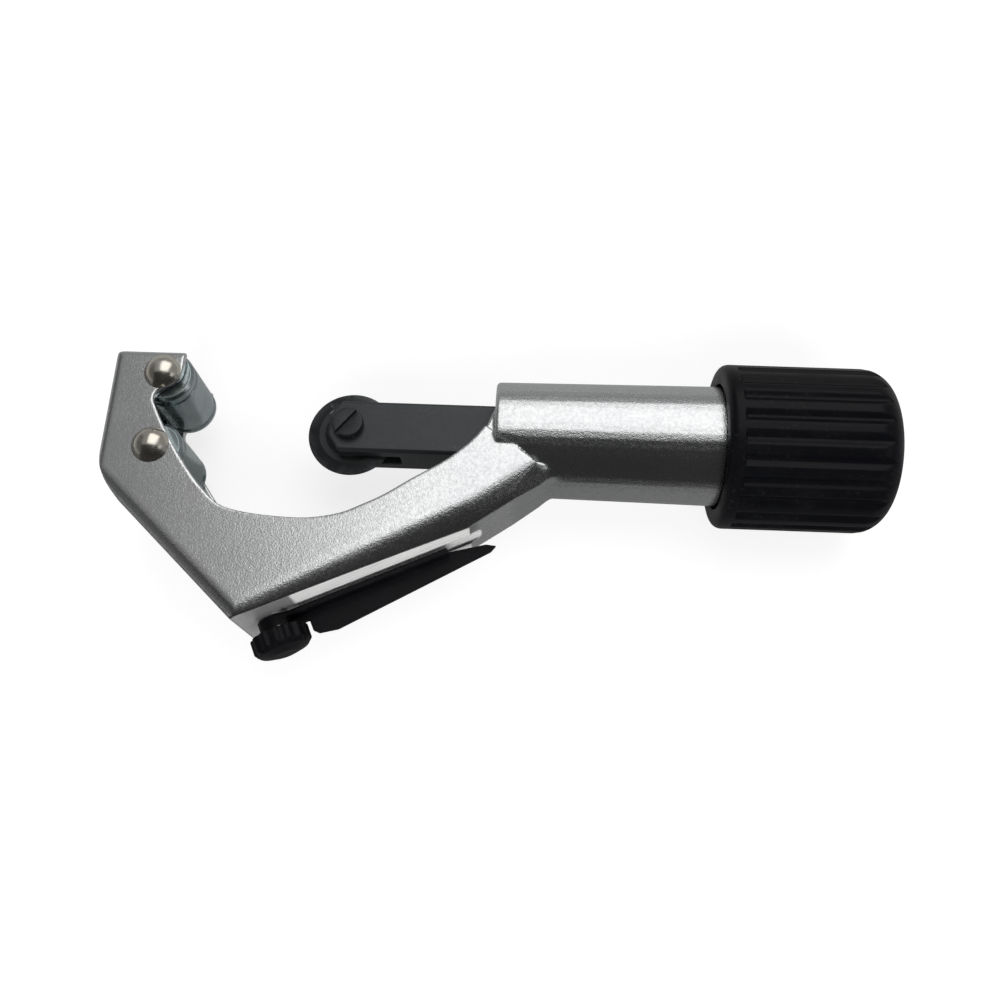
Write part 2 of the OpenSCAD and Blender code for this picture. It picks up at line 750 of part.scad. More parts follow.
module reamer_washer() {
    color(steel) difference() {
        pivot_cylinder(head_base, head_base + flat_washer_t, flat_washer_d);
        pivot_cylinder(head_base - over, head_base + flat_washer_t + over, pivot_d);
    }
}

module reamer_spring_washer() {
    color(steel) difference() {
        pivot_cylinder(-spring_washer_t, 0, spring_washer_d);
        pivot_cylinder(-spring_washer_t - over, over, pivot_d);
    }
}

frame();
roller_pin_upper();
roller_pin_lower();
feed_nut();
nut_pin();
reamer_screw();
reamer_washer();
reamer_spring_washer();
roller_upper();
roller_lower();
slide();
wheel_screw();
swivel_pin();
thrust_washer();
cutter_wheel();
wheel_bushing();
feed_screw();
knob();
knob_insert();
knob_washer();
knob_screw();
knob_end_cap();
reamer_blade();
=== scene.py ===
"""Tube cutter: cast frame, two rollers, a cutter wheel on a slide, a fluted knob and a reamer that swings out."""
import bpy
import bmesh
import math
from mathutils import Matrix, Vector


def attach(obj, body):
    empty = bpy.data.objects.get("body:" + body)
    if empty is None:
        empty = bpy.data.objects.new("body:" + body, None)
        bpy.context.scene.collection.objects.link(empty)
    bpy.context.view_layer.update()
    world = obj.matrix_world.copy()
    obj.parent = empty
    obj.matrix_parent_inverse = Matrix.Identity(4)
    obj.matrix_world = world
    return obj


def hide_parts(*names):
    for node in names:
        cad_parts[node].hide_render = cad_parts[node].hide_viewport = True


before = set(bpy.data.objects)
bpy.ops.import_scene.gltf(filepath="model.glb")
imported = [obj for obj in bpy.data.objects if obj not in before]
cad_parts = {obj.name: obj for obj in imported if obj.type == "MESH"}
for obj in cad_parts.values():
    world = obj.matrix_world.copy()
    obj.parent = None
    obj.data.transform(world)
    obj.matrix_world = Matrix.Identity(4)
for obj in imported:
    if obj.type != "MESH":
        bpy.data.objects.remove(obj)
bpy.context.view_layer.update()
MM = 0.001

# Sizes in millimetres, the same as in the part's source.
WHEEL_X, WHEEL_R = 37.3, 9.0
ROLLER_R, ROLLER_L, ROLLER_Y = 5.6, 17.1, 7.9
# Half the thickness of the frame and of the slide.
FRAME_HALF, SLIDE_HALF = 10.5, 4.9
# The reamer's pivot on the arm's underside, and the angle of that underside.
PIVOT_X, PIVOT_Y = 25.5, -39.0
UNDERSIDE = math.radians(24.7)
KNOB_START, KNOB_END, KNOB_R = 112.2, 146.7, 16.8
CAP_DOME = 0.4
# The tool lies with its knob on the floor.
FLOOR_Z = -KNOB_R


# Node trees.

class Tree:
    """A node tree with short calls to add and join nodes."""

    def __init__(self, tree):
        self.tree = tree
        self.column = 0

    def add(self, kind, values=None, **settings):
        node = self.tree.nodes.new(kind)
        node.location = (self.column * 190, 0)
        self.column += 1
        for name, value in settings.items():
            setattr(node, name, value)
        for socket, value in (values or {}).items():
            self.set(node.inputs[socket], value)
        return node

    def set(self, socket, value):
        if isinstance(value, bpy.types.NodeSocket):
            self.tree.links.new(value, socket)
        else:
            socket.default_value = value

    def math(self, operation, a, b=None, c=None, clamp=False):
        node = self.add("ShaderNodeMath", operation=operation, use_clamp=clamp)
        for i, value in enumerate((a, b, c)):
            if value is not None:
                self.set(node.inputs[i], value)
        return node.outputs[0]

    def vector(self, operation, a, b=None, scale=None):
        node = self.add("ShaderNodeVectorMath", operation=operation)
        self.set(node.inputs[0], a)
        if b is not None:
            self.set(node.inputs[1], b)
        if scale is not None:
            self.set(node.inputs["Scale"], scale)
        return node.outputs["Value"] if operation in ("LENGTH", "DOT_PRODUCT") else node.outputs["Vector"]

    def range(self, value, low, high, to_low=0.0, to_high=1.0):
        """A smooth step from one value to another, between low and high."""
        node = self.add("ShaderNodeMapRange", interpolation_type="SMOOTHSTEP", clamp=True)
        labels = ("Value", "From Min", "From Max", "To Min", "To Max")
        for label, given in zip(labels, (value, low, high, to_low, to_high)):
            self.set(node.inputs[label], given)
        return node.outputs["Result"]

    def mix(self, factor, a, b):
        node = self.add("ShaderNodeMix", data_type="RGBA")
        for i, value in ((0, factor), (6, a), (7, b)):
            self.set(node.inputs[i], value)
        return node.outputs[2]

    def noise(self, vector, scale, detail=2.0, rough=0.5):
        values = {"Vector": vector, "Scale": scale, "Detail": detail, "Roughness": rough}
        return self.add("ShaderNodeTexNoise", values).outputs[0]


def shader_group(name, inputs, outputs):
    """An empty shader group with named sockets, its tree, its input node and its output node."""
    tree = bpy.data.node_groups.new(name, "ShaderNodeTree")
    for label, kind, value in inputs:
        socket = tree.interface.new_socket(label, in_out="INPUT", socket_type=kind)
        socket.default_value = value
    for label, kind in outputs:
        tree.interface.new_socket(label, in_out="OUTPUT", socket_type=kind)
    t = Tree(tree)
    return tree, t, t.add("NodeGroupInput").outputs, t.add("NodeGroupOutput").inputs


FLOAT, VECTOR, COLOR = "NodeSocketFloat", "NodeSocketVector", "NodeSocketColor"


def build_sand_grain():
    """Blasted or moulded grain: a height and a light and dark fleck, with features of Size millimetres."""
    inputs = [("Size", FLOAT, 0.4), ("Detail", FLOAT, 2.0)]
    tree, t, i, o = shader_group("sand_grain", inputs, [("Height", FLOAT), ("Fleck", FLOAT)])
    place = t.add("ShaderNodeTexCoord").outputs["Object"]
    scale = t.math("DIVIDE", 1000.0, i["Size"])
    grain = t.noise(place, scale, i["Detail"], 0.6)
    pits = t.add("ShaderNodeTexVoronoi", {"Vector": place, "Scale": scale}, feature="SMOOTH_F1")
    t.set(o["Height"], t.math("ADD", grain, t.math("MULTIPLY", pits.outputs["Distance"], 0.5)))
    coarse = t.noise(place, t.math("MULTIPLY", scale, 0.45), 3.0, 0.6)
    t.set(o["Fleck"], t.range(coarse, 0.35, 0.68))
    return tree


def build_edge_wear():
    """Mask of the sharper outward edges, broken up by noise."""
    inputs = [("Low", FLOAT, 0.52), ("High", FLOAT, 0.6), ("Breakup", FLOAT, 400.0)]
    tree, t, i, o = shader_group("edge_wear", inputs, [("Mask", FLOAT)])
    place = t.add("ShaderNodeTexCoord").outputs["Object"]
    edge = t.range(t.add("ShaderNodeNewGeometry").outputs["Pointiness"], i["Low"], i["High"])
    patch = t.range(t.noise(place, i["Breakup"], 3.0, 0.6), 0.3, 0.62)
    t.set(o["Mask"], t.math("MULTIPLY", edge, patch, clamp=True))
    return tree


def build_turning_marks():
    """Fine rings round an axis: Centre is a point on the axis, Across is 0 along the axis and 1 across it."""
    inputs = [("Centre", VECTOR, (0, 0, 0)), ("Across", VECTOR, (1, 1, 0)), ("Spacing", FLOAT, 0.2)]
    tree, t, i, o = shader_group("turning_marks", inputs, [("Height", FLOAT), ("Mask", FLOAT)])
    place = t.add("ShaderNodeTexCoord").outputs["Object"]
    offset = t.vector("SUBTRACT", place, i["Centre"])
    flat = t.vector("MULTIPLY", offset, i["Across"])
    axis = t.vector("DOT_PRODUCT", offset, t.vector("SUBTRACT", (1, 1, 1), i["Across"]))
    run = t.math("ADD", t.vector("LENGTH", flat), axis)
    step = t.math("DIVIDE", t.math("MULTIPLY", run, 1000.0), i["Spacing"])
    rings = t.add("ShaderNodeTexNoise", {"W": step, "Scale": 1.0, "Detail": 2.0}, noise_dimensions="1D")
    t.set(o["Height"], rings.outputs[0])
    t.set(o["Mask"], t.range(rings.outputs[0], 0.35, 0.65))
    return tree


def build_handling():
    """Faint smears and dust from handling, in patches of Size millimetres."""
    inputs = [("Size", FLOAT, 12.0), ("Low", FLOAT, 0.45), ("High", FLOAT, 0.75)]
    tree, t, i, o = shader_group("handling", inputs, [("Smear", FLOAT), ("Dust", FLOAT)])
    place = t.add("ShaderNodeTexCoord").outputs["Object"]
    scale = t.math("DIVIDE", 1000.0, i["Size"])
    smear = t.noise(t.vector("MULTIPLY", place, (1, 1.6, 1)), scale, 5.0, 0.62)
    t.set(o["Smear"], t.range(smear, i["Low"], i["High"]))
    fine = t.noise(place, t.math("MULTIPLY", scale, 14.0), 3.0, 0.7)
    specks = t.range(fine, 0.56, 0.74)
    t.set(o["Dust"], t.math("MULTIPLY", specks, t.range(smear, 0.4, 0.7)))
    return tree


GROUPS = {
    "grain": build_sand_grain(),
    "wear": build_edge_wear(),
    "rings": build_turning_marks(),
    "handling": build_handling(),
}


class Finish(Tree):
    """A material with one Principled BSDF, whose changing inputs come from the shared groups."""

    def __init__(self, name, metallic, **fixed):
        self.material = bpy.data.materials.new(name)
        self.material.use_nodes = True
        super().__init__(self.material.node_tree)
        self.shader = self.tree.nodes["Principled BSDF"]
        self.shader.inputs["Metallic"].default_value = metallic
        for label, value in fixed.items():
            self.shader.inputs[label.replace("_", " ")].default_value = value

    def group(self, key, **values):
        node = self.add("ShaderNodeGroup", node_tree=GROUPS[key])
        for label, value in values.items():
            self.set(node.inputs[label], value)
        return node.outputs

    def color(self, value):
        self.set(self.shader.inputs["Base Color"], value)

    def roughness(self, value):
        self.set(self.shader.inputs["Roughness"], value)

    def bump(self, *layers):
        """Layers of (height, distance in millimetres), coarse first."""
        normal = None
        for height, distance in layers:
            node = self.add("ShaderNodeBump", {"Height": height, "Distance": distance * MM, "Strength": 1.0})
            if normal is not None:
                self.set(node.inputs["Normal"], normal)
            normal = node.outputs["Normal"]
        self.set(self.shader.inputs["Normal"], normal)


def rgb(r, g, b):
    return (r, g, b, 1.0)


def milled_underside_with_painted_shade(f, place):
    """Mask of the arm's underside and its recess, which are milled, and so plain and pale; within about 5 mm of
    the pivot it is held to 0.3, a painted shade beside the screw head.
    """
    outward = (math.sin(UNDERSIDE), -math.cos(UNDERSIDE), 0.0)
    facing = f.vector("DOT_PRODUCT", f.add("ShaderNodeTexCoord").outputs["Normal"], outward)
    offset = f.vector("SUBTRACT", place, (PIVOT_X * MM, PIVOT_Y * MM, 0.0))
    depth = f.vector("DOT_PRODUCT", offset, outward)
    along = f.vector("DOT_PRODUCT", offset, (math.cos(UNDERSIDE), math.sin(UNDERSIDE), 0.0))
    flat = f.math("MULTIPLY", f.range(facing, 0.982, 0.993), f.range(depth, -0.0022, -0.0015))
    # Held to 0.3 near the pivot: painted shade beside the screw head, not a change in the milling.
    return f.math("MULTIPLY", flat, f.range(along, 0.0048, 0.0056, 0.3, 1.0))


def cast_metal():
    f = Finish("cast_frame_metal", 1.0)
    grain = f.group("grain", Size=0.3, Detail=2.0)
    wear = f.group("wear", Low=0.51, High=0.58, Breakup=260.0)
    touch = f.group("handling", Size=16.0, Low=0.4, High=0.75)
    place = f.add("ShaderNodeTexCoord").outputs["Object"]
    cloud = f.noise(place, 60.0, 3.0, 0.55)
    tone = f.mix(f.range(cloud, 0.3, 0.7), rgb(0.70, 0.71, 0.715), rgb(0.76, 0.765, 0.765))
    fleck = f.mix(f.math("MULTIPLY", grain["Fleck"], 0.4), tone, rgb(0.54, 0.55, 0.56))
    # Sharper edges paler: worn edges, and also a painted highlight along edges such as the throat's.
    edge = f.mix(f.math("MULTIPLY", wear["Mask"], 0.8), fleck, rgb(0.88, 0.88, 0.87))
    dusty = f.mix(f.math("MULTIPLY", touch["Dust"], 0.25), edge, rgb(0.45, 0.44, 0.42))
    # Pale milled underside, with painted shade that keeps it darker near the pivot.
    milled_with_painted_shade = milled_underside_with_painted_shade(f, place)
    streaks = f.noise(f.vector("MULTIPLY", place, (0.06, 0.06, 1.0)), 2400.0, 2.0, 0.6)
    cut = f.mix(f.range(streaks, 0.32, 0.62), rgb(0.78, 0.78, 0.77), rgb(0.93, 0.93, 0.92))
    f.color(f.mix(milled_with_painted_shade, dusty, cut))
    rough = f.math("ADD", 0.2, f.math("MULTIPLY", grain["Fleck"], 0.08))
    rough = f.math("ADD", rough, f.math("MULTIPLY", touch["Smear"], 0.04))
    rough = f.math("SUBTRACT", rough, f.math("MULTIPLY", wear["Mask"], 0.08))
    f.roughness(f.math("ADD", rough, f.math("MULTIPLY", milled_with_painted_shade, 0.25)))
    f.set(f.shader.inputs["Metallic"], f.math("SUBTRACT", 1.0, f.math("MULTIPLY", milled_with_painted_shade, 0.9)))
    split = f.add("ShaderNodeSeparateXYZ", {"Vector": place}).outputs["Z"]
    seam = f.range(f.math("ABSOLUTE", split), 0.00005, 0.00022, 1.0, 0.0)
    f.bump((seam, 0.03), (f.noise(place, 850.0, 3.0, 0.6), 0.024), (grain["Height"], 0.027))
    return f.material


def zinc_plate():
    f = Finish("zinc_plated_steel", 1.0)
    place = f.add("ShaderNodeTexCoord").outputs["Object"]
    rings = f.group("rings", Spacing=0.22)
    wear = f.group("wear", Low=0.53, High=0.62, Breakup=500.0)
    touch = f.group("handling", Size=5.0, Low=0.4, High=0.7)
    cloud = f.noise(place, 190.0, 3.0, 0.6)
    tone = f.mix(f.range(cloud, 0.3, 0.7), rgb(0.42, 0.49, 0.50), rgb(0.52, 0.585, 0.59))
    f.color(f.mix(f.math("MULTIPLY", wear["Mask"], 0.6), tone, rgb(0.72, 0.75, 0.76)))
    f.roughness(f.math("ADD", 0.2, f.math("MULTIPLY", touch["Smear"], 0.14)))
    f.bump((cloud, 0.03), (rings["Height"], 0.012))
    return f.material


def nickel_plate():
    f = Finish("nickel_plated_pins", 1.0)
    grain = f.group("grain", Size=0.3, Detail=1.0)
    touch = f.group("handling", Size=3.0, Low=0.4, High=0.7)
    tone = f.mix(touch["Smear"], rgb(0.74, 0.70, 0.61), rgb(0.83, 0.80, 0.74))
    f.color(f.mix(f.math("MULTIPLY", touch["Dust"], 0.3), tone, rgb(0.4, 0.37, 0.32)))
    f.roughness(f.math("ADD", 0.2, f.math("MULTIPLY", touch["Smear"], 0.1)))
    f.bump((grain["Height"], 0.006))
    return f.material


def dark_oxide(name, light, centre=None):
    """Oxide finish: light scales its tones, and a centre gives it the rings of a turned face."""
    f = Finish(name, 0.75, Specular_IOR_Level=0.5)
    place = f.add("ShaderNodeTexCoord").outputs["Object"]
    wear = f.group("wear", Low=0.52, High=0.6, Breakup=350.0)
    touch = f.group("handling", Size=9.0, Low=0.4, High=0.72)
    base = rgb(0.060 * light, 0.064 * light, 0.067 * light)
    pale = rgb(0.070 * light, 0.075 * light, 0.078 * light)
    tone = f.mix(touch["Smear"], base, pale)
    worn = f.mix(f.math("MULTIPLY", wear["Mask"], 0.55), tone, rgb(0.26, 0.27, 0.28))
    f.color(f.mix(f.math("MULTIPLY", touch["Dust"], 0.3), worn, rgb(0.2, 0.2, 0.19)))
    if centre is not None:
        marks = f.group("rings", Centre=centre, Spacing=0.16)
        height, mask = marks["Height"], marks["Mask"]
    else:
        height = f.noise(place, 2600.0, 2.0, 0.6)
        mask = f.range(height, 0.35, 0.65)
    rough = f.math("ADD", 0.36, f.math("MULTIPLY", mask, 0.08))
    f.roughness(f.math("ADD", rough, f.math("MULTIPLY", touch["Smear"], 0.03)))
    f.bump((f.noise(place, 500.0, 2.0), 0.006), (height, 0.008))
    return f.material


def knob_plastic():
    f = Finish("knob_plastic", 0.0, IOR=1.5, Specular_IOR_Level=0.14)
    grain = f.group("grain", Size=0.32, Detail=1.0)
    wear = f.group("wear", Low=0.51, High=0.6, Breakup=220.0)
    touch = f.group("handling", Size=11.0, Low=0.4, High=0.75)
    tone = f.mix(touch["Smear"], rgb(0.0035, 0.0037, 0.0052), rgb(0.0055, 0.0057, 0.0072))
    worn = f.mix(f.math("MULTIPLY", wear["Mask"], 0.4), tone, rgb(0.026, 0.027, 0.03))
    f.color(f.mix(f.math("MULTIPLY", touch["Dust"], 0.35), worn, rgb(0.07, 0.07, 0.068)))
    rough = f.math("ADD", 0.33, f.math("MULTIPLY", touch["Smear"], 0.12))
    f.roughness(f.math("SUBTRACT", rough, f.math("MULTIPLY", wear["Mask"], 0.06)))
    f.bump((grain["Height"], 0.014))
    return f.material


def black_coat():
    f = Finish("black_coated_steel", 0.0, IOR=1.5, Specular_IOR_Level=0.15)
    grain = f.group("grain", Size=0.35, Detail=2.0)
    wear = f.group("wear", Low=0.52, High=0.6, Breakup=420.0)
    touch = f.group("handling", Size=8.0, Low=0.4, High=0.72)
    tone = f.mix(touch["Smear"], rgb(0.004, 0.004, 0.0055), rgb(0.0065, 0.0065, 0.008))
    worn = f.mix(f.math("MULTIPLY", wear["Mask"], 0.5), tone, rgb(0.06, 0.06, 0.06))
    f.color(f.mix(f.math("MULTIPLY", touch["Dust"], 0.25), worn, rgb(0.06, 0.058, 0.055)))
    f.roughness(f.math("ADD", 0.38, f.math("MULTIPLY", touch["Smear"], 0.12)))
    f.bump((grain["Height"], 0.016))
    return f.material


def turned_metal(name, dark, pale, rough, centre=(0, 0, 0), across=(0, 1, 1)):
    """Bright metal with turning marks, about the barrel's axis unless another one is given."""
    f = Finish(name, 1.0)
    rings = f.group("rings", Centre=centre, Across=across, Spacing=0.15)
    touch = f.group("handling", Size=5.0, Low=0.4, High=0.7)
    f.color(f.mix(touch["Smear"], rgb(*dark), rgb(*pale)))
    f.roughness(f.math("ADD", rough, f.math("MULTIPLY", rings["Mask"], 0.08)))
    f.bump((rings["Height"], 0.006))
    return f.material


# Meshes.

def new_piece(name, mesh, material=None):
    piece = bpy.data.objects.new(name, mesh)
    bpy.context.scene.collection.objects.link(piece)
    if material is not None:
        mesh.materials.clear()
        mesh.materials.append(material)
    return piece


def settle(piece, material=None):
    """Turns the piece's modifiers into plain mesh and removes them."""
    bpy.context.view_layer.update()
    made = bpy.data.meshes.new_from_object(piece.evaluated_get(bpy.context.evaluated_depsgraph_get()))
    piece.modifiers.clear()
    piece.data = made
    if material is not None:
        made.materials.clear()
        made.materials.append(material)
    return piece


ARC_PARTS = 6


def rounded_profile(points):
    """Closed line through (radius, height, rounding) corners, with a short arc at each rounded one."""
    line, count = [], len(points)
    for k, (r, h, rounding) in enumerate(points):
        here = Vector((r, h))
        if rounding <= 0:
            line.append(here)
            continue
        before, after = Vector(points[k - 1][:2]) - here, Vector(points[(k + 1) % count][:2]) - here
        half = before.angle(after) / 2
        cut = min(rounding / math.tan(half), before.length * 0.49, after.length * 0.49)
        a, b = here + before.normalized() * cut, here + after.normalized() * cut
        for n in range(ARC_PARTS + 1):
            s = n / ARC_PARTS
            line.append(a * (1 - s) ** 2 + here * 2 * s * (1 - s) + b * s ** 2)
    return line


def turned(name, line, parts=96):
    """Solid of revolution about Z from a closed line of (radius, height) points; radius 0 is a pole."""
    verts, rings, faces = [], [], []
    for r, h in line:
        if r < 1e-9:
            rings.append([len(verts)] * parts)
            verts.append((0, 0, h))
        else:
            rings.append([len(verts) + n for n in range(parts)])
            turns = [math.tau * n / parts for n in range(parts)]
            verts += [(r * math.cos(a), r * math.sin(a), h) for a in turns]
    for k, ring in enumerate(rings):
        other = rings[(k + 1) % len(rings)]
        if ring[0] == ring[1] and other[0] == other[1]:
            continue
        for n in range(parts):
            m = (n + 1) % parts
            corners = [ring[n], ring[m], other[m], other[n]]
            faces.append(list(dict.fromkeys(corners)))
    mesh = bpy.data.meshes.new(name)
    mesh.from_pydata(verts, [], faces)
    work = bmesh.new()
    work.from_mesh(mesh)
    bmesh.ops.recalc_face_normals(work, faces=work.faces)
    work.to_mesh(mesh)
    work.free()
    mesh.shade_smooth()
    return mesh


def to_metres(mesh, place=None):
    mesh.transform(Matrix.Scale(MM, 4) if place is None else Matrix.Scale(MM, 4) @ place)
    return mesh


def on_z(x, y, z=0.0):
    return Matrix.Translation((x, y, z))


def on_x(x):
    """Place of a piece turned about Z so that its height runs along X."""
    return Matrix.Translation((x, 0, 0)) @ Matrix.Rotation(math.pi / 2, 4, "Y")


def on_pivot(y):
    """Place of a piece turned about Z so that its height runs into the arm, from the underside."""
    return (Matrix.Translation((PIVOT_X, PIVOT_Y, 0)) @ Matrix.Rotation(UNDERSIDE, 4, "Z")
            @ Matrix.Translation((0, y, 0)) @ Matrix.Rotation(-math.pi / 2, 4, "X"))


def finished(piece, material=None):
    """Gives a turned piece normals that keep its flat faces flat, and makes it plain mesh."""
    piece.modifiers.new("normals", "WEIGHTED_NORMAL").keep_sharp = True
    return settle(piece, material)


def cad_copy(node, name):
    """Merged and tidied copy of a CAD node's mesh, with the outlines of its flat faces."""
    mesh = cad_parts[node].data.copy()
    mesh.name = name
    work = bmesh.new()
    work.from_mesh(mesh)
    bmesh.ops.remove_doubles(work, verts=work.verts, dist=1e-6)
    bmesh.ops.dissolve_limit(work, angle_limit=math.radians(0.6), verts=work.verts, edges=work.edges)
    work.to_mesh(mesh)
    work.free()
    return mesh


def bevel_edges(piece, width, segments, angle):
    """Bevels the edges sharper than this angle in degrees, by a width in millimetres."""
    bevel = piece.modifiers.new("edges", "BEVEL")
    bevel.width = width * MM
    bevel.segments = segments
    bevel.limit_method = "ANGLE"
    bevel.angle_limit = math.radians(angle)
    bevel.use_clamp_overlap = True
    bevel.miter_outer = "MITER_ARC"
    piece.data.shade_smooth()


def skinned(piece, size, rounds, material=None):
    """Gives the piece one even skin of faces of this size in millimetres, with its edges softened."""
    skin = piece.modifiers.new("skin", "REMESH")
    skin.mode = "VOXEL"
    skin.voxel_size = size * MM
    soft = piece.modifiers.new("soft_edges", "SMOOTH")
    soft.factor = 0.5
    soft.iterations = rounds
    settle(piece, material)
    piece.data.shade_smooth()
    return piece


def blend_in(piece, x, y, z, reach, rounds):
    """Smooths the skin about a place in millimetres and about its mirror image across Z, as a cast fillet does."""
    group = piece.vertex_groups.new(name="fillet")
    places = [Vector((x, y, side * z)) * MM for side in (-1, 1)]
    reach = reach * MM
    for vert in piece.data.vertices:
        if abs(vert.co.x - places[0].x) > reach or abs(vert.co.y - places[0].y) > reach:
            continue
        weight = 1 - min((vert.co - place).length for place in places) / reach
        if weight > 0:
            group.add([vert.index], min(1.0, weight * 1.6), "REPLACE")
    soft = piece.modifiers.new("fillet", "SMOOTH")
    soft.factor = 0.5
    soft.iterations = rounds
    soft.vertex_group = "fillet"
    settle(piece)
    piece.vertex_groups.clear()


def cut_away(piece, cutter):
    """Cuts the cutter's shape out of the piece and throws the cutter away."""
    boolean = piece.modifiers.new("cut", "BOOLEAN")
    boolean.operation = "DIFFERENCE"
    boolean.solver = "EXACT"
    boolean.object = cutter
    settle(piece)
    bpy.data.objects.remove(cutter)


def block(size, place):
    mesh = bpy.data.meshes.new("block")
    work = bmesh.new()
    bmesh.ops.create_cube(work, size=1.0)
    work.to_mesh(mesh)
    work.free()
    mesh.transform(place @ Matrix.Diagonal((*size, 1.0)))
    return mesh


# Geometry nodes.

def build_flutes():
    """Cuts evenly spaced grooves along Z into a turned piece, without going below its own rounded end."""
    tree = bpy.data.node_groups.new("flutes", "GeometryNodeTree")
    tree.interface.new_socket("Geometry", in_out="INPUT", socket_type="NodeSocketGeometry")
    sizes = {"Count": 24.0, "Radius": 16.8, "Depth": 0.8, "Width": 2.6, "Start": 2.6, "Run In": 0.4, "Turn": 0.5}
    for label, value in sizes.items():
        tree.interface.new_socket(label, in_out="INPUT", socket_type=FLOAT).default_value = value
    tree.interface.new_socket("Material", in_out="INPUT", socket_type="NodeSocketMaterial")
    tree.interface.new_socket("Geometry", in_out="OUTPUT", socket_type="NodeSocketGeometry")
    t = Tree(tree)
    i = t.add("NodeGroupInput").outputs
    position = t.add("GeometryNodeInputPosition").outputs[0]
    split = t.add("ShaderNodeSeparateXYZ", {"Vector": position}).outputs
    flat = t.vector("MULTIPLY", position, (1, 1, 0))
    radius = t.math("MAXIMUM", t.vector("LENGTH", flat), 0.001)
    turn = t.math("DIVIDE", t.math("ARCTAN2", split["Y"], split["X"]), math.tau)
    # The distance from the nearest groove's middle, as a share of half its width.
    step = t.math("FRACT", t.math("ADD", t.math("MULTIPLY", turn, i["Count"]), i["Turn"]))
    phase = t.math("ABSOLUTE", t.math("SUBTRACT", step, 0.5))
    pitch = t.math("DIVIDE", t.math("MULTIPLY", i["Radius"], math.tau), i["Count"])
    off = t.math("DIVIDE", t.math("MULTIPLY", phase, pitch), t.math("MULTIPLY", i["Width"], 0.5))
    # A groove is one arch of a cosine, a little filled out.
    arch = t.math("COSINE", t.math("MULTIPLY", t.math("MINIMUM", off, 1.0), math.pi))
    shape = t.math("POWER", t.math("MULTIPLY", t.math("ADD", arch, 1.0), 0.5), 0.75)
    ramp = t.range(split["Z"], i["Start"], t.math("ADD", i["Start"], i["Run In"]))
    sink = t.math("MULTIPLY", t.math("MULTIPLY", shape, ramp), i["Depth"])
    groove = t.math("SUBTRACT", i["Radius"], sink)
    new = t.math("MINIMUM", t.math("SMOOTH_MIN", radius, groove, 0.08), radius)
    offset = t.vector("SCALE", flat, scale=t.math("SUBTRACT", t.math("DIVIDE", new, radius), 1.0))
    moved = t.add("GeometryNodeSetPosition", {"Geometry": i["Geometry"], "Offset": offset}).outputs[0]
    real = t.add("GeometryNodeRealizeInstances", {"Geometry": moved}).outputs[0]
    coated = t.add("GeometryNodeSetMaterial", {"Geometry": real, "Material": i["Material"]}).outputs[0]
    t.set(t.add("NodeGroupOutput").inputs[0], coated)
    return tree


FLUTES = build_flutes()


def fluted(mesh, name, material, **values):
    """Cuts flutes into a turned mesh, which is still about Z and in millimetres, and returns it as plain mesh."""
    piece = new_piece(name, mesh)
    modifier = piece.modifiers.new("flutes", "NODES")
    modifier.node_group = FLUTES
    ids = {s.name: s.identifier for s in FLUTES.interface.items_tree if s.in_out == "INPUT"}
    for label, value in values.items():
        modifier[ids[label.replace("_", " ")]] = value
    modifier[ids["Material"]] = material
    settle(piece)
    mesh = piece.data
    bpy.data.objects.remove(piece)
    mesh.shade_smooth()
    return mesh


# Finishes.

CAST = cast_metal()
ZINC = zinc_plate()
NICKEL = nickel_plate()
SLIDE_OXIDE = dark_oxide("slide_dark_oxide", 0.92)
WHEEL_OXIDE = dark_oxide("wheel_dark_oxide", 0.65, (WHEEL_X * MM, 0, 0))
KNOB = knob_plastic()
BLACK = black_coat()
BRASS = turned_metal("brass", (0.62, 0.44, 0.18), (0.76, 0.59, 0.30), 0.26)
STEEL = turned_metal("bright_steel", (0.52, 0.53, 0.54), (0.66, 0.66, 0.67), 0.24)
PIVOT = (PIVOT_X * MM, PIVOT_Y * MM, 0)
WASHER_STEEL = turned_metal("washer_steel", (0.5, 0.5, 0.51), (0.62, 0.62, 0.63), 0.3, PIVOT, (1, 1, 1))


# Pieces.

def barrel_body():
    """Plain body of the barrel about the arm's end, a hair thicker than the casting's own."""
    middle, length, mouth_side, knob_side = 80.0, 40.0, 11.68, 12.18
    mesh = bpy.data.meshes.new("barrel_body")
    work = bmesh.new()
    bmesh.ops.create_cone(work, cap_ends=True, segments=128, radius1=mouth_side, radius2=knob_side, depth=length)
    work.to_mesh(mesh)
    work.free()
    return new_piece("barrel_body", to_metres(mesh, on_x(middle)))


def trim_arm_end(piece):
    """Slopes the arm's end down to the barrel on both sides, where the casting flows from one into the other."""
    width, thick = 20, 6
    for side in (-1, 1):
        out = Vector((0.5, -0.5, 0.7 * side)).normalized()
        corner = Vector((75.2, -8.4, FRAME_HALF * side))
        turn = out.to_track_quat("Z", "Y").to_matrix().to_4x4()
        place = Matrix.Translation(corner + out * thick / 2) @ turn
        cutter = new_piece("trim", block((width, width, thick), Matrix.Scale(MM, 4) @ place))
        cut_away(cutter, barrel_body())
        cut_away(piece, cutter)


def make_casting():
    share_of_faces_kept = 0.19
    piece = new_piece("casting", cad_copy("frame", "casting"))
    trim_arm_end(piece)
    skinned(piece, 0.22, 6)
    blend_in(piece, 79.6, -9.3, 8.2, 4.5, 150)
    thin = piece.modifiers.new("thin", "DECIMATE")
    thin.ratio = share_of_faces_kept
    settle(piece, CAST)
    piece.data.shade_smooth()
    return piece


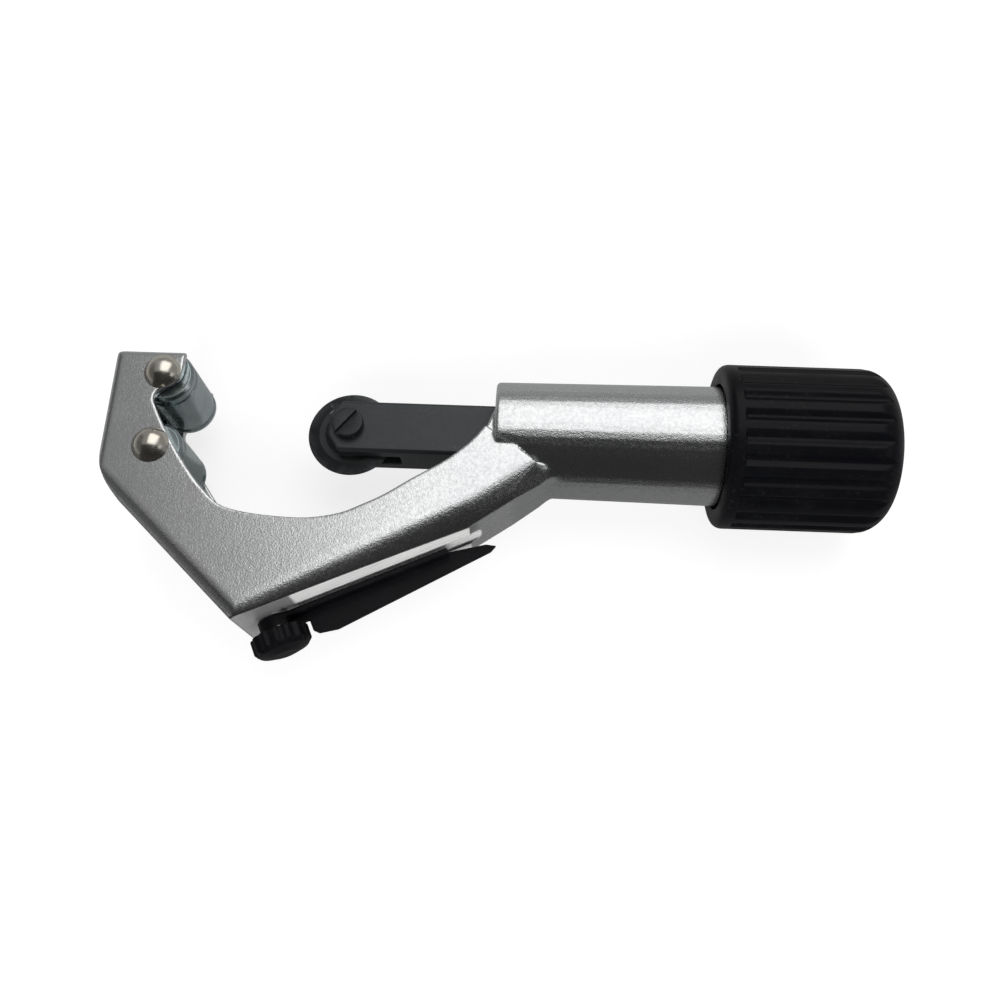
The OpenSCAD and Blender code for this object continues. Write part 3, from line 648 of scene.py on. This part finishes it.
def make_pin(name, y):
    """Roller pin with a domed end on both sides, whose rim turns in where it meets the casting."""
    dome_r, dome_h, pin_r, parts = 3.7, 2.5, 2.25, 14
    ball = (dome_r * dome_r + dome_h * dome_h) / (2 * dome_h)
    edge = math.asin(dome_r / ball)
    line = []
    for side in (-1, 1):
        angles = [edge * n / parts for n in range(parts)]
        arc = [(ball * math.sin(a), FRAME_HALF + dome_h - ball + ball * math.cos(a)) for a in angles]
        arc += [(dome_r - 0.02, FRAME_HALF + 0.16), (dome_r - 0.08, FRAME_HALF + 0.04),
                (dome_r - 0.2, FRAME_HALF), (pin_r, FRAME_HALF)]
        arc = [(r, side * z) for r, z in arc]
        line += arc if side < 0 else arc[::-1]
    piece = new_piece(name, to_metres(turned(name, line, 64), on_z(0, y)), NICKEL)
    return finished(piece)


def make_roller(name, y):
    """Roller with chamfered ends and a shallow groove near each end."""
    r, end, deep, bore = ROLLER_R, ROLLER_L / 2, 0.3, 2.31
    outside, inside = end - 1.4, end - 2.8
    corners = [(bore, -end, 0.2), (r - 0.6, -end, 0.15), (r, -end + 0.6, 0.3)]
    for low, high in ((-outside, -inside), (inside, outside)):
        corners += [(r, low, 0.2), (r - deep, low + 0.3, 0.3), (r - deep, high - 0.3, 0.3), (r, high, 0.2)]
    corners += [(r, end - 0.6, 0.3), (r - 0.6, end, 0.15), (bore, end, 0.2)]
    mesh = turned(name, rounded_profile(corners), 96)
    piece = new_piece(name, to_metres(mesh, on_z(0, y)), ZINC)
    return finished(piece)


def make_wheel():
    """Cutter wheel: a thin disc with a thicker hub, ground to an edge at its rim."""
    hub, bore, hub_half, disc_half, grind = 4.5, 3.2, 1.5, 0.8, 2.4
    half = [(bore, hub_half, 0.1), (hub, hub_half, 0.12), (hub + 0.8, disc_half, 0.2),
            (WHEEL_R - grind, disc_half, 0.12), (WHEEL_R - 0.02, 0.05, 0)]
    corners = half + [(q, -h, w) for q, h, w in half[::-1]]
    mesh = turned("wheel_disc", rounded_profile(corners), 128)
    piece = new_piece("wheel_disc", to_metres(mesh, on_z(WHEEL_X, 0)), WHEEL_OXIDE)
    return finished(piece)


def make_wheel_screw():
    """Slotted screw that carries the wheel, with a low head."""
    head, shank, top, slot_turn = 3.15, 2.1, SLIDE_HALF + 1.9, math.radians(51)
    corners = [(0, top, 0), (head, top, 0.35), (head, SLIDE_HALF, 0),
               (shank, SLIDE_HALF, 0), (shank, -SLIDE_HALF, 0.3), (0, -SLIDE_HALF, 0)]
    mesh = turned("wheel_screw_head", rounded_profile(corners), 64)
    piece = new_piece("wheel_screw_head", to_metres(mesh, on_z(WHEEL_X, 0)))
    slot = Matrix.Scale(MM, 4) @ on_z(WHEEL_X, 0, top) @ Matrix.Rotation(slot_turn, 4, "Z")
    cut_away(piece, new_piece("slot", block((12, 0.8, 1.8), slot)))
    bevel_edges(piece, 0.1, 2, 40)
    return finished(piece, WHEEL_OXIDE)


def make_slide():
    """Slide from its solid, with one even skin and soft edges."""
    piece = new_piece("slide_bar", cad_copy("slide", "slide_bar"))
    return skinned(piece, 0.2, 2, SLIDE_OXIDE)


def make_reamer():
    """Reamer blade from its solid, with one even skin and soft edges."""
    piece = new_piece("reamer_sheet", cad_copy("reamer_blade", "reamer_sheet"))
    return skinned(piece, 0.14, 3, BLACK)


def make_pivot_screw():
    """Reamer screw with a ribbed head; heights run into the arm from its underside."""
    crown, head, base, tip = -7.85, -7.1, -3.4, 9.0
    rim, shank = 5.7, 2.0
    line = rounded_profile([(0, crown, 0), (2.4, crown, 1.6), (rim - 0.9, head, 0.5), (rim, head + 0.9, 0.4),
                            (rim, base, 0.3), (shank, base, 0), (shank, tip, 0.3), (0, tip, 0)])
    mesh = turned("pivot_screw", line, 240)
    ribs = {"Count": 14.0, "Radius": rim, "Depth": 0.4, "Width": 2.2, "Start": -20.0, "Run_In": 0.1}
    mesh = fluted(mesh, "pivot_screw", BLACK, **ribs)
    piece = new_piece("pivot_screw", to_metres(mesh, on_pivot(0)), BLACK)
    return finished(piece)


def make_knob():
    """Knob shell: smooth rim, flutes up to a rounded end, a skirt over the barrel and a seat for the end cap."""
    r, skirt, length = KNOB_R, 12.85, KNOB_END - KNOB_START - CAP_DOME
    round_r, round_parts, flutes_start, fluted_from, long_parts = 6.0, 26, 2.6, 3.6, 16
    cap_r, cap_seat, bore_r, hollow_r = 6.2, 1.2, 5.1, 6.5
    # The skirt's two rounded corners, each an arc, and then rings close enough for the flutes' run in.
    corners = [(skirt, 0, 0.3), (r, 0, 2.2), (r, 4.6, 0), (skirt, 4.6, 0)]
    line = rounded_profile(corners)[:2 * (ARC_PARTS + 1)]
    line += [(r, 2.45)] + [(r, flutes_start + 0.09 * n) for n in range(9)]
    straight = length - round_r - fluted_from
    line += [(r, fluted_from + straight * n / long_parts) for n in range(long_parts + 1)]
    turns = [math.pi / 2 * n / round_parts for n in range(1, round_parts + 1)]
    line += [(r - round_r + round_r * math.cos(a), length - round_r + round_r * math.sin(a)) for a in turns]
    line += [(8.0, length), (6.4, length), (cap_r, length - 0.2), (cap_r, length - cap_seat),
             (bore_r, length - cap_seat), (bore_r, length - 3.5), (hollow_r, length - 3.5),
             (hollow_r, length - 5.1), (skirt, length - 5.1)]
    mesh = turned("knob_shell", line, 480)
    flutes = {"Count": 24.0, "Radius": r, "Depth": 0.8, "Width": 2.9, "Start": flutes_start, "Run_In": 0.45}
    mesh = fluted(mesh, "knob_shell", KNOB, **flutes)
    piece = new_piece("knob_shell", to_metres(mesh, on_x(KNOB_START)), KNOB)
    return finished(piece)


def make_cap():
    """Low domed cap in the knob's end."""
    r, depth = 6.2, -1.2
    line = rounded_profile([(0, depth, 0), (r, depth, 0), (r, 0, 0.2), (5.4, 0.34, 0.3),
                            (3.0, CAP_DOME, 1.0), (0, CAP_DOME, 0)])
    mesh = to_metres(turned("end_cap", line, 96), on_x(KNOB_END - CAP_DOME))
    piece = new_piece("end_cap", mesh, KNOB)
    return finished(piece)


PIECES = [
    (make_casting(), "frame_body", "frame", "cast_frame"),
    (make_pin("pin_upper", ROLLER_Y), "frame_body", "roller_pin_upper", "nickel_pins"),
    (make_pin("pin_lower", -ROLLER_Y), "frame_body", "roller_pin_lower", "nickel_pins"),
    (make_roller("roller_upper_turned", ROLLER_Y), "upper_roller", "roller_upper", "zinc_rollers"),
    (make_roller("roller_lower_turned", -ROLLER_Y), "lower_roller", "roller_lower", "zinc_rollers"),
    (make_slide(), "carriage", "slide", "dark_steel"),
    (make_wheel_screw(), "carriage", "wheel_screw", "dark_steel"),
    (make_wheel(), "wheel", "cutter_wheel", "wheel_steel"),
    (make_knob(), "knob_set", "knob", "knob_plastic"),
    (make_cap(), "knob_set", "knob_end_cap", "knob_plastic"),
    (make_reamer(), "reamer", "reamer_blade", "black_steel"),
    (make_pivot_screw(), "frame_body", "reamer_screw", "black_steel"),
]
for piece, body, node, slot in PIECES:
    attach(piece, body)
    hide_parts(node)

# The solids that are shown as they are, because they are plain or hidden.
KEPT_SOLIDS = {
    "feed_nut": BRASS,
    "nut_pin": STEEL,
    "reamer_washer": WASHER_STEEL,
    "reamer_spring_washer": WASHER_STEEL,
    "swivel_pin": STEEL,
    "thrust_washer": BRASS,
    "wheel_bushing": BRASS,
    "feed_screw": STEEL,
    "knob_insert": STEEL,
    "knob_washer": STEEL,
    "knob_screw": STEEL,
}
for node, material in KEPT_SOLIDS.items():
    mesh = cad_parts[node].data
    mesh.materials.clear()
    mesh.materials.append(material)


# Studio, with its places in metres.

FLOOR_HALF, WALL_R, WALL_H = 3.0, 2.9, 3.0


def floor_material():
    """White to the camera, to metal and to glass, but with the tool's shadow; a plain pale floor to the rest."""
    material = bpy.data.materials.new("studio_floor")
    material.use_nodes = True
    t = Tree(material.node_tree)
    t.tree.nodes.remove(t.tree.nodes["Principled BSDF"])
    path = t.add("ShaderNodeLightPath").outputs
    direct = t.math("ADD", path["Is Camera Ray"], path["Is Glossy Ray"])
    seen = t.math("ADD", direct, path["Is Transmission Ray"], clamp=True)
    plain = t.add("ShaderNodeBsdfDiffuse", {"Color": rgb(0.8, 0.8, 0.8)}).outputs[0]
    shade = t.add("ShaderNodeBsdfDiffuse", {"Color": rgb(0.55, 0.55, 0.55)}).outputs[0]
    glow = t.add("ShaderNodeEmission", {"Color": rgb(1, 1, 1), "Strength": 0.7}).outputs[0]
    both = t.add("ShaderNodeAddShader", {0: shade, 1: glow}).outputs[0]
    mixed = t.add("ShaderNodeMixShader", {0: seen, 1: plain, 2: both}).outputs[0]
    t.set(t.tree.nodes["Material Output"].inputs["Surface"], mixed)
    return material


def plain_emission(name, value):
    material = bpy.data.materials.new(name)
    material.use_nodes = True
    t = Tree(material.node_tree)
    t.tree.nodes.remove(t.tree.nodes["Principled BSDF"])
    glow = t.add("ShaderNodeEmission", {"Color": rgb(value, value, value), "Strength": 1.0}).outputs[0]
    t.set(t.tree.nodes["Material Output"].inputs["Surface"], glow)
    return material


def seen_only_by(piece, camera=False, glossy=False):
    piece.visible_camera = camera
    piece.visible_glossy = glossy
    piece.visible_diffuse = False
    piece.visible_transmission = False
    piece.visible_volume_scatter = False
    piece.visible_shadow = False


def make_floor():
    mesh = bpy.data.meshes.new("floor")
    s = FLOOR_HALF
    mesh.from_pydata([(-s, -s, 0), (s, -s, 0), (s, s, 0), (-s, s, 0)], [], [(0, 1, 2, 3)])
    mesh.transform(Matrix.Translation((0, 0, FLOOR_Z * MM)))
    floor = new_piece("floor", mesh, floor_material())


def make_wall():
    """Pale wall round the floor, which only the camera sees."""
    verts, parts = [], 48
    turns = [math.tau * n / parts for n in range(parts)]
    for z in (FLOOR_Z * MM, WALL_H):
        verts += [(WALL_R * math.cos(a), WALL_R * math.sin(a), z) for a in turns]
    faces = [(n, (n + 1) % parts, parts + (n + 1) % parts, parts + n) for n in range(parts)]
    faces.append(tuple(range(parts, 2 * parts)))
    mesh = bpy.data.meshes.new("wall")
    mesh.from_pydata(verts, [], faces)
    wall = new_piece("wall", mesh, plain_emission("pale_wall", 1.0))
    seen_only_by(wall, camera=True)


def make_flag(name, first, last, radius, x0, x1, value):
    """Curved card about the barrel's line, between two angles from +Y towards +Z, that only metal sees."""
    verts, parts = [], 16
    for n in range(parts + 1):
        a = math.radians(first + (last - first) * n / parts)
        y, z = radius * math.cos(a), radius * math.sin(a)
        verts += [(x0, y, z), (x1, y, z)]
    faces = [(2 * n, 2 * n + 1, 2 * n + 3, 2 * n + 2) for n in range(parts)]
    mesh = bpy.data.meshes.new(name)
    mesh.from_pydata(verts, [], faces)
    card = new_piece(name, mesh, plain_emission(name, value))
    seen_only_by(card, glossy=True)


def make_card(name, corners, value):
    """Card of four corners that only metal sees."""
    mesh = bpy.data.meshes.new(name)
    mesh.from_pydata(corners, [], [(0, 1, 2, 3)])
    card = new_piece(name, mesh, plain_emission(name, value))
    seen_only_by(card, glossy=True)


def make_low_card(name, y0, y1, value):
    """Card lying just above the floor, between two places across the tool."""
    left, right, z = -0.8, 1.0, (FLOOR_Z + 0.3) * MM
    make_card(name, [(left, y0, z), (right, y0, z), (right, y1, z), (left, y1, z)], value)


def soft_box(name, x, angle, distance, width, height, radiance, glossy=True):
    """Area lamp facing the tool's middle, at an angle from +Y towards +Z."""
    lamp = bpy.data.lights.new(name, "AREA")
    lamp.shape = "RECTANGLE"
    lamp.size, lamp.size_y = width, height
    lamp.energy = radiance * math.pi * width * height
    a = math.radians(angle)
    light = bpy.data.objects.new(name, lamp)
    bpy.context.scene.collection.objects.link(light)
    eye, aim = Vector((x, distance * math.cos(a), distance * math.sin(a))), Vector((0.07, 0, 0))
    z = (eye - aim).normalized()
    side = (Vector((1, 0, 0)) - z * z.x).normalized()
    up = z.cross(side)
    light.matrix_world = Matrix.Translation(eye) @ Matrix((side, up, z)).transposed().to_4x4()
    light.visible_glossy = glossy


def make_world():
    world = bpy.data.worlds.new("studio")
    bpy.context.scene.world = world
    world.use_nodes = True
    sky = world.node_tree.nodes["Background"].inputs
    sky["Color"].default_value = rgb(1, 1, 1)
    sky["Strength"].default_value = 0.24


def make_camera():
    """Camera at the place, turn and lens that were fitted to the tool's outline points in the photograph."""
    place = (0.07317, -0.07871, 0.18795)
    right, ahead = Vector((0.9991, 0.04107, -0.01025)), Vector((-0.02321, 0.32894, -0.94407))
    data = bpy.data.cameras.new("camera")
    data.sensor_width = 36.0
    data.lens = 35.4517
    data.clip_start, data.clip_end = 0.01, 20.0
    camera = bpy.data.objects.new("camera", data)
    bpy.context.scene.collection.objects.link(camera)
    back = -ahead
    right = (right - back * right.dot(back)).normalized()
    turn = Matrix((right, back.cross(right), back)).transposed().to_4x4()
    camera.matrix_world = Matrix.Translation(place) @ turn
    bpy.context.scene.camera = camera


make_camera()
make_floor()
make_wall()
make_world()
# What metal mirrors: dark from above the tool down to its -Y side, and graded by the floor.
make_flag("dark_flag", 97, 188, 0.6, -0.8, 1.6, 0.03)
make_low_card("dark_low_card", -0.6, -0.08, 0.03)
make_low_card("grey_low_card", -0.08, 0.0, 0.2)
make_low_card("pale_low_card", 0.0, 0.9, 0.36)
# A dark card beyond the head and a bright one beyond the knob.
make_card("end_dark_card", [(-0.6, -0.6, 0.16), (-0.6, 0.6, 0.16), (-0.6, 0.6, 0.7), (-0.6, -0.6, 0.7)], 0.11)
side_corners = [(0.36, -0.14, 0.16), (0.42, -0.01, 0.16), (0.37, -0.01, 0.29), (0.31, -0.14, 0.29)]
make_card("side_bright_card", side_corners, 0.7)
# The main light, which the faces that look up mirror, and a fill that metal doesn't mirror.
soft_box("soft_box", 0.2, 61, 0.8, 0.7, 1.0, 1.15)
soft_box("fill_box", 0.1, 152, 0.8, 0.8, 0.8, 2.4, glossy=False)
bpy.context.scene.view_settings.view_transform = "Standard"

bpy.context.view_layer.update()
